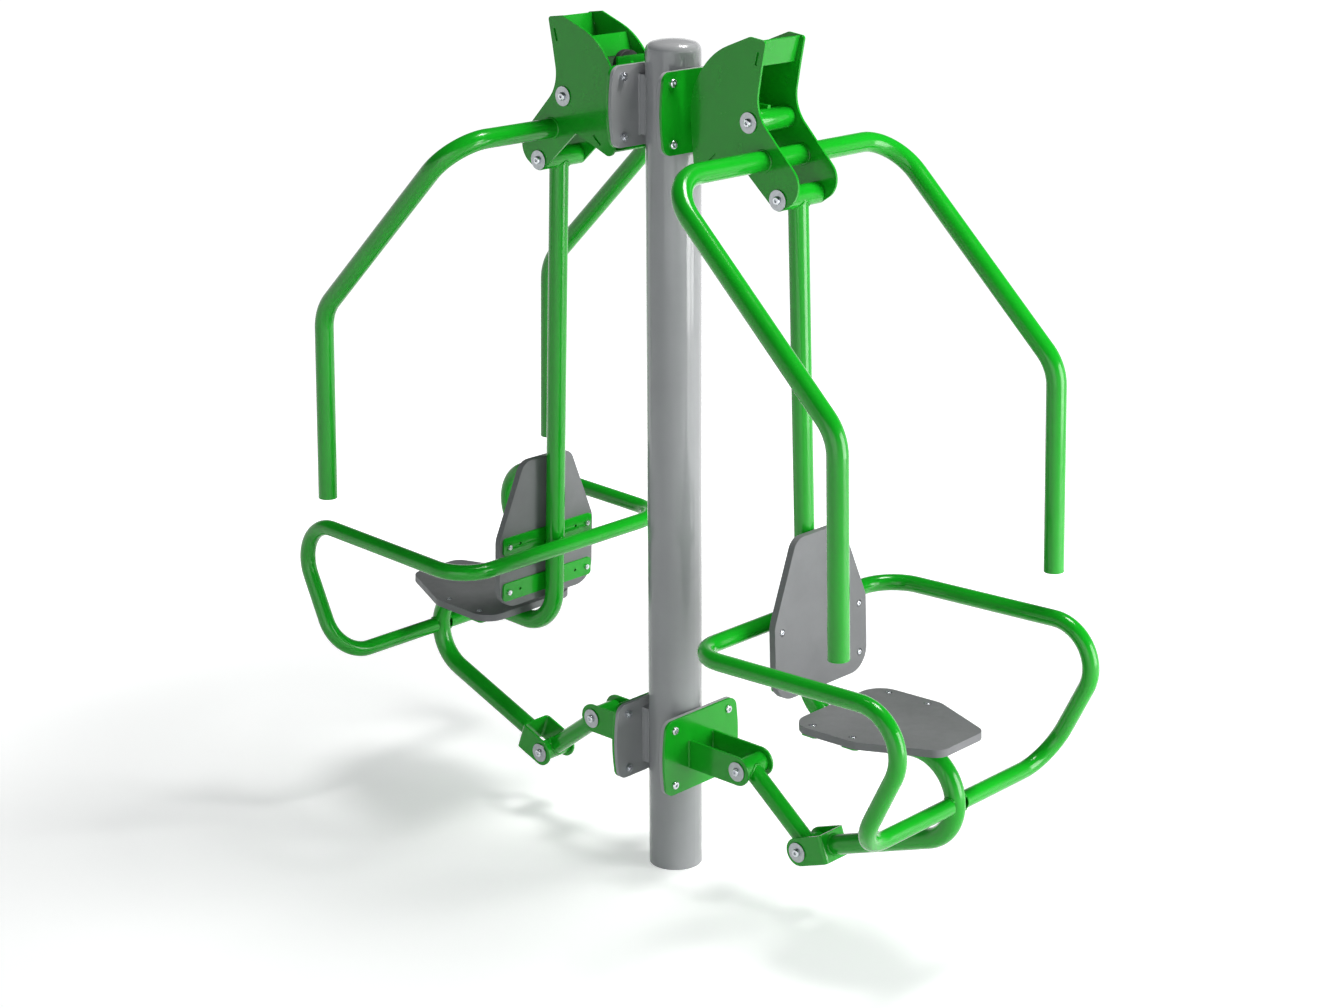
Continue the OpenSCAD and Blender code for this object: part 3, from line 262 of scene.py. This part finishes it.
# Edges sharper than EDGE_ANGLE are rounded, after faces within FLAT_ANGLE are joined
EDGE_ANGLE = math.radians(35)
FLAT_ANGLE = math.radians(0.6)
EDGE_SEGMENTS = 2
SAME_POINT = 0.01 * MM
EDGE_ROUNDING = {
    "paint_green": 0.8 * MM,
    "plate_green": 0.9 * MM,
    "post_grey": 1.0 * MM,
    "board_plastic": 1.6 * MM,
    "zinc_steel": 0.4 * MM,
    "satin_steel": 0.5 * MM,
    "bearing_steel": 0.3 * MM,
    "rubber": 1.2 * MM,
}


def noise(tree, scale, detail=3.0, roughness=0.5, stretch=(1, 1, 1)):
    """A noise texture in object space; stretch squeezes it along an axis."""
    place = tree.nodes.new("ShaderNodeTexCoord")
    mapping = tree.nodes.new("ShaderNodeMapping")
    mapping.inputs["Scale"].default_value = stretch
    texture = tree.nodes.new("ShaderNodeTexNoise")
    texture.inputs["Scale"].default_value = scale
    texture.inputs["Detail"].default_value = detail
    texture.inputs["Roughness"].default_value = roughness
    tree.links.new(place.outputs["Object"], mapping.inputs["Vector"])
    tree.links.new(mapping.outputs["Vector"], texture.inputs["Vector"])
    return texture.outputs["Fac"]


def ramp(tree, value, low, high, a, b):
    """value from low to high, turned into a colour or number from a to b."""
    node = tree.nodes.new("ShaderNodeValToRGB")
    node.color_ramp.elements[0].position = low
    node.color_ramp.elements[1].position = high
    node.color_ramp.elements[0].color = a
    node.color_ramp.elements[1].color = b
    tree.links.new(value, node.inputs[0])
    return node.outputs[0]


def grey(level):
    """A neutral colour, or a plain number for a socket, from one level."""
    return (level, level, level, 1)


def shade(colour, factor):
    """The colour made lighter or darker."""
    return (*[min(1.0, c * factor) for c in colour[:3]], 1)


def bumps(tree, shader, layers):
    """Chains bump nodes: each layer is a height, its strength and its depth in metres."""
    normal = None
    for height, strength, depth in layers:
        node = tree.nodes.new("ShaderNodeBump")
        node.inputs["Strength"].default_value = strength
        node.inputs["Distance"].default_value = depth
        tree.links.new(height, node.inputs["Height"])
        if normal is not None:
            tree.links.new(normal, node.inputs["Normal"])
        normal = node.outputs["Normal"]
    tree.links.new(normal, shader.inputs["Normal"])


def principled(name):
    """A new material, its node tree and its shader."""
    material = bpy.data.materials.new(name)
    material.use_nodes = True
    return material, material.node_tree, material.node_tree.nodes["Principled BSDF"]


def powder_coat(name, colour, gloss=0.16, flow=1.0, coat=0.20):
    """Glossy powder coat: orange peel, slow changes of tone and duller patches."""
    material, tree, shader = principled(name)
    tone = noise(tree, scale=5.0, detail=4.0)
    body = ramp(tree, tone, 0.3, 0.7, shade(colour, 0.93), shade(colour, 1.06))
    tree.links.new(body, shader.inputs["Base Color"])
    smudge = noise(tree, scale=22.0, detail=6.0, roughness=0.6)
    dull = ramp(tree, smudge, 0.35, 0.75, grey(gloss), grey(gloss + 0.10))
    tree.links.new(dull, shader.inputs["Roughness"])
    shader.inputs["Specular IOR Level"].default_value = 0.30
    shader.inputs["Coat Weight"].default_value = coat
    shader.inputs["Coat Roughness"].default_value = 0.06
    peel = noise(tree, scale=420.0, detail=2.0)
    waves = noise(tree, scale=60.0, detail=2.0)
    bumps(tree, shader, [(peel, 0.10 * flow, 0.4 * MM), (waves, 0.06 * flow, 1.0 * MM)])
    return material


def board_plastic(name, colour):
    """Moulded polyethylene sheet: fine grain, pebbles, slow changes of tone and dull scuffs."""
    material, tree, shader = principled(name)
    tone = noise(tree, scale=9.0, detail=5.0)
    body = ramp(tree, tone, 0.3, 0.7, shade(colour, 0.92), shade(colour, 1.07))
    tree.links.new(body, shader.inputs["Base Color"])
    scuff = noise(tree, scale=35.0, detail=8.0, roughness=0.7)
    dull = ramp(tree, scuff, 0.3, 0.7, grey(0.42), grey(0.58))
    tree.links.new(dull, shader.inputs["Roughness"])
    shader.inputs["Specular IOR Level"].default_value = 0.45
    grain = noise(tree, scale=900.0, detail=2.0)
    pebble = noise(tree, scale=260.0, detail=3.0)
    bumps(tree, shader, [(grain, 0.20, 0.3 * MM), (pebble, 0.18, 0.6 * MM)])
    return material


def steel(name, colour, gloss, grain_scale, grain_stretch, grain_depth):
    """Bare or plated steel: a metal with a fine grain, cloudy tone and patches of wear."""
    material, tree, shader = principled(name)
    cloud = noise(tree, scale=90.0, detail=5.0)
    body = ramp(tree, cloud, 0.3, 0.7, shade(colour, 0.86), shade(colour, 1.06))
    tree.links.new(body, shader.inputs["Base Color"])
    shader.inputs["Metallic"].default_value = 1.0
    wear = noise(tree, scale=300.0, detail=4.0)
    dull = ramp(tree, wear, 0.3, 0.7, grey(gloss), grey(gloss + 0.14))
    tree.links.new(dull, shader.inputs["Roughness"])
    grain = noise(tree, grain_scale, detail=2.0, stretch=grain_stretch)
    bumps(tree, shader, [(grain, 0.25, grain_depth)])
    return material


def rubber(name):
    """Black rubber with a film of dust."""
    material, tree, shader = principled(name)
    dust = noise(tree, scale=60.0, detail=6.0)
    tree.links.new(ramp(tree, dust, 0.4, 0.8, grey(0.014), grey(0.034)),
                   shader.inputs["Base Color"])
    tree.links.new(ramp(tree, dust, 0.3, 0.7, grey(0.50), grey(0.72)),
                   shader.inputs["Roughness"])
    grain = noise(tree, scale=500.0, detail=3.0)
    bumps(tree, shader, [(grain, 0.2, 0.3 * MM)])
    return material


MATERIALS = {
    "paint_green": powder_coat("green_powder_coat", GREEN),
    "plate_green": powder_coat("green_plate_coat", PLATE_GREEN, gloss=0.20, flow=1.4),
    "post_grey": powder_coat("grey_powder_coat", POST_GREY, gloss=0.14, flow=0.8, coat=0.35),
    "board_plastic": board_plastic("grey_board_plastic", BOARD_GREY),
    "zinc_steel": steel("zinc_plated_steel", ZINC, gloss=0.20, grain_scale=700.0,
                        grain_stretch=(1, 1, 1), grain_depth=0.2 * MM),
    "satin_steel": steel("turned_steel", SATIN, gloss=0.30, grain_scale=900.0,
                         grain_stretch=TURNED, grain_depth=0.2 * MM),
    "bearing_steel": steel("ground_steel", SATIN, gloss=0.22, grain_scale=900.0,
                           grain_stretch=TURNED, grain_depth=0.1 * MM),
    "rubber": rubber("black_rubber"),
}
# The flanges' coat: duller than the post's, with the post's grey painted lighter as painted light
FLANGE_COAT = powder_coat("grey_flange_coat", FLANGE_GREY_WITH_PAINTED_LIGHT, gloss=0.38, flow=1.4, coat=0.0)


def round_edges(node, width):
    """Rounds the sharp edges of a node: the CAD mesh keeps its own normals elsewhere."""
    weld = node.modifiers.new("join", "WELD")
    weld.merge_threshold = SAME_POINT
    flat = node.modifiers.new("flat_faces", "DECIMATE")
    flat.decimate_type = "DISSOLVE"
    flat.angle_limit = FLAT_ANGLE
    bevel = node.modifiers.new("edges", "BEVEL")
    bevel.width = width
    bevel.segments = EDGE_SEGMENTS
    bevel.limit_method = "ANGLE"
    bevel.angle_limit = EDGE_ANGLE
    bevel.use_clamp_overlap = True
    bevel.harden_normals = True


def dress_cad():
    """Gives every CAD node its material, and rounds the edges of all but the tubes a little."""
    slots = {s["node"]: s["material_slot"] for s in frame["record"]["subparts"]}
    for name, node in nodes.items():
        kind = name.rsplit("_", 1)[0]
        material = FLANGE_COAT if kind in FLANGES else MATERIALS[slots[name]]
        node.data.materials.clear()
        node.data.materials.append(material)
        if name not in TUBES and kind not in TUBES:
            round_edges(node, EDGE_ROUNDING[slots[name]])


# Places of the stations and their moving frames

def turned(side):
    """The half turn that carries the right station to its side."""
    return Matrix.Rotation(SIDES[side], 4, "Z")


def at_rocker(side):
    """Frame of the rocker, at its pivot."""
    return turned(side) @ Matrix.Translation(ROCKER_PIVOT)


def at_spine(side):
    """Frame of the spine, at the pivot it hangs from, with Z along its straight tube."""
    return at_rocker(side) @ Matrix.Translation(HANG_OFFSET) @ Matrix.Rotation(-SEAT_TILT, 4, "Y")


def at_toe(side):
    """Frame of the clevis, with X along the spine's lower run."""
    return (at_spine(side) @ Matrix.Translation((0, 0, -SPINE_DROP))
            @ Matrix.Rotation(-LEG_ANGLE, 4, "Y"))


def at_lower(side):
    """Frame of the lower bracket, at the link's pivot."""
    return turned(side) @ Matrix.Translation(LOWER_PIVOT)


def at_link(side):
    """Frame of the link, with X along it, and the link's length."""
    toe = turned(side).inverted() @ at_toe(side) @ Vector((0, 0, 0))
    run = toe - LOWER_PIVOT
    return at_lower(side) @ Matrix.Rotation(math.atan2(-run.z, run.x), 4, "Y"), run.length


# Weld beads

BEAD_R = 3.2 * MM
BEAD_SIDES = 10
RIPPLE = 0.10
RIPPLE_PITCH = 2.6 * MM
# Steps over which an open bead thins out, and the share of a step left at its tip
BEAD_TAPER = 4
TIP_SHARE = 0.4
# How far apart two touching tubes may be for the bead between them to fill the gap
WELD_OPENING = 4.8 * MM
RING_POINTS = 72
SADDLE_POINTS = 96
# Beads of the lower bars: where each arc starts, how far it goes, in degrees, and its steps
BAR_ARC_STARTS = (40, 220)
BAR_ARC_SWEEP = 100
BAR_ARC_STEPS = 24
# Beads of the strips: half length, how deep their ends go and how far their middle stands out
STRIP_BEAD_HALF = 12 * MM
STRIP_BEAD_SINK = 1 * MM
STRIP_BEAD_RISE = 0.5 * MM


def resample(points, step, closed):
    """The points of a polyline at even steps."""
    path = points + points[:1] if closed else points
    lengths = [(b - a).length for a, b in zip(path, path[1:])]
    total = sum(lengths)
    count = max(4, round(total / step))
    out = []
    done = 0.0
    i = 0
    for k in range(count if closed else count + 1):
        goal = min(total * k / count, total)
        while i < len(lengths) - 1 and done + lengths[i] < goal:
            done += lengths[i]
            i += 1
        t = (goal - done) / lengths[i] if lengths[i] else 0.0
        out.append(path[i].lerp(path[i + 1], min(max(t, 0.0), 1.0)))
    return out


def bead(name, points, place, body, closed=True, slot="paint_green"):
    """A rippled weld bead along the points, which are in the frame of place."""
    line = resample([Vector(p) for p in points], RIPPLE_PITCH / 2, closed)
    count = len(line)
    verts, faces = [], []
    side = None
    for k, p in enumerate(line):
        ahead = line[(k + 1) % count] if closed else line[min(k + 1, count - 1)]
        behind = line[k - 1] if closed else line[max(k - 1, 0)]
        way = (ahead - behind).normalized()
        if side is None:
            side = way.orthogonal().normalized()
        side = (side - way * side.dot(way)).normalized()
        up = way.cross(side)
        end = 1.0
        if not closed:
            end = math.sqrt(min(1.0, (min(k, count - 1 - k) + TIP_SHARE) / BEAD_TAPER))
        size = BEAD_R * end * (1 + RIPPLE * (1 if k % 2 else -1))
        for j in range(BEAD_SIDES):
            turn = 2 * math.pi * j / BEAD_SIDES
            verts.append(p + side * (size * math.cos(turn)) + up * (size * math.sin(turn)))
    rings = count if closed else count - 1
    for k in range(rings):
        for j in range(BEAD_SIDES):
            a = k * BEAD_SIDES + j
            b = k * BEAD_SIDES + (j + 1) % BEAD_SIDES
            c = ((k + 1) % count) * BEAD_SIDES
            faces.append((a, b, c + (j + 1) % BEAD_SIDES, c + j))
    if not closed:
        faces.append(tuple(range(BEAD_SIDES))[::-1])
        faces.append(tuple((count - 1) * BEAD_SIDES + j for j in range(BEAD_SIDES)))
    mesh = bpy.data.meshes.new(name)
    mesh.from_pydata([place @ v for v in verts], [], faces)
    for polygon in mesh.polygons:
        polygon.use_smooth = True
    mesh.materials.append(MATERIALS[slot])
    mesh.update()
    piece = bpy.data.objects.new(name, mesh)
    bpy.context.scene.collection.objects.link(piece)
    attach(piece, body)


def round_steps(count):
    """The angles of even steps round a full turn."""
    return [2 * math.pi * k / count for k in range(count)]


def ring(r, y, centre):
    """A circle about the Y axis through the centre, at y."""
    return [(centre[0] + r * math.cos(turn), y, centre[2] + r * math.sin(turn))
            for turn in round_steps(RING_POINTS)]


def ring_x(r, x):
    """A circle about the X axis, at x."""
    return [(x, r * math.cos(turn), r * math.sin(turn)) for turn in round_steps(RING_POINTS)]


def saddle(r, big_r):
    """Where a tube of radius r along -Z runs into a cylinder of radius big_r along Y."""
    out = []
    for turn in round_steps(SADDLE_POINTS):
        x, y = r * math.cos(turn), r * math.sin(turn)
        out.append((x, y, -math.sqrt(big_r ** 2 - x ** 2)))
    return out


def crossing(r, bar_r):
    """Round the touching point of an upright tube of radius r and a bar along Y behind it."""
    out = []
    for turn in round_steps(RING_POINTS):
        y = math.sqrt(2 * r * WELD_OPENING) * math.cos(turn)
        z = math.sqrt(2 * bar_r * WELD_OPENING) * math.sin(turn)
        out.append(((y * y / r - z * z / bar_r) / 4, y, z))
    return out


def box_seam(x, half_y, half_z):
    """A rectangle in the plane of x."""
    return [(x, -half_y, -half_z), (x, half_y, -half_z), (x, half_y, half_z), (x, -half_y, half_z)]


def weld_station(side):
    """The beads of one station's rocker, seat frame and link."""
    rocker, spine, toe = at_rocker(side), at_spine(side), at_toe(side)
    arm_body, seat_body = f"rocker_arm_{side}", f"seat_frame_{side}"
    for i, y in enumerate((-1, 1)):
        bead(f"weld_crossbar_out_{side}_{i}", ring(TUBE_R, y * ROCKER_HALF, CROSSBAR),
             rocker, arm_body)
        bead(f"weld_crossbar_in_{side}_{i}", ring(TUBE_R, y * (ROCKER_HALF - ROCKER_T), CROSSBAR),
             rocker, arm_body)
    bead(f"weld_spine_head_{side}", saddle(TUBE_R, HOUSING_R), spine, seat_body)
    bead(f"weld_clevis_{side}", ring_x(TUBE_R, CLEVIS_L), toe, seat_body)
    back_bar = Matrix.Translation((-TUBE_R, 0, -ARM_DROP))
    bead(f"weld_back_bar_{side}", crossing(TUBE_R, ARM_R), spine @ back_bar, seat_body)
    for i, y in enumerate((-1, 1)):
        for j, start in enumerate(BAR_ARC_STARTS):
            arc = []
            for k in range(BAR_ARC_STEPS + 1):
                turn = math.radians(start + BAR_ARC_SWEEP * k / BAR_ARC_STEPS)
                out = ARM_R * math.cos(turn)
                deep = (TUBE_R + math.sqrt(TUBE_R ** 2 - out ** 2)) / 2
                arc.append((FRONT_BEND_REACH + FRONT_BEND + out, y * deep,
                            -BEND_DROP + ARM_R * math.sin(turn)))
            bead(f"weld_lower_bar_{side}_{i}{j}", arc, spine, seat_body, closed=False)
    for i, drop in enumerate(BACK_STRIP_DROPS):
        for j, edge in enumerate((-1, 1)):
            z = -drop + edge * STRIP_HALF_W
            line = [(TUBE_R - STRIP_BEAD_SINK, -STRIP_BEAD_HALF, z),
                    (TUBE_R + STRIP_BEAD_RISE, 0, z),
                    (TUBE_R - STRIP_BEAD_SINK, STRIP_BEAD_HALF, z)]
            bead(f"weld_back_strip_{side}_{i}{j}", line, spine, seat_body, closed=False)
    top = -SEAT_TUBE_DROP + TUBE_R
    for i, reach in enumerate(SEAT_STRIP_REACHES):
        for j, edge in enumerate((-1, 1)):
            x = reach + edge * STRIP_HALF_W
            line = [(x, -STRIP_BEAD_HALF, top - STRIP_BEAD_SINK), (x, 0, top + STRIP_BEAD_RISE),
                    (x, STRIP_BEAD_HALF, top - STRIP_BEAD_SINK)]
            bead(f"weld_seat_strip_{side}_{i}{j}", line, spine, seat_body, closed=False)
    link, link_l = at_link(side)
    quarter = Matrix.Rotation(math.radians(-90), 4, "Y")
    bead(f"weld_link_foot_{side}", saddle(LINK_R, HOUSING_R), link @ quarter, f"link_arm_{side}")
    bead(f"weld_link_head_{side}", saddle(LINK_R, HOUSING_R),
         link @ Matrix.Translation((link_l, 0, 0)) @ quarter.inverted(), f"link_arm_{side}")


def weld_stand(side):
    """The beads of the brackets and flanges on one side of the post."""
    lower = at_lower(side)
    wall = BRACKET_FACE - LOWER_PIVOT.x
    for i, y in enumerate((-1, 1)):
        for j, face in enumerate((FORK_HALF, FORK_HALF - FORK_T)):
            line = [(wall, y * face, -ARM_END_R), (wall, y * face, ARM_END_R)]
            bead(f"weld_fork_{side}_{i}{j}", line, lower, "stand", closed=False)
    seam_x = math.sqrt(POST_R ** 2 - SADDLE_HALF_W ** 2)
    for level, height in (("low", LOWER_FLANGE_Z), ("high", UPPER_FLANGE_Z)):
        place = turned(side) @ Matrix.Translation((0, 0, height))
        bead(f"weld_saddle_face_{level}_{side}", box_seam(FLANGE_BACK, SADDLE_HALF_W, SADDLE_HALF_H),
             place, "stand", slot="post_grey")
        for i, y in enumerate((-1, 1)):
            line = [(seam_x, y * SADDLE_HALF_W, -SADDLE_HALF_H),
                    (seam_x, y * SADDLE_HALF_W, SADDLE_HALF_H)]
            bead(f"weld_saddle_{level}_{side}_{i}", line, place, "stand", closed=False,
                 slot="post_grey")


make_camera()
make_world()
make_floor()
for light_name, light in LIGHTS.items():
    area_light(light_name, **light)

dress_cad()
for station in SIDES:
    weld_station(station)
    weld_stand(station)

bpy.context.scene.view_settings.view_transform = "Standard"
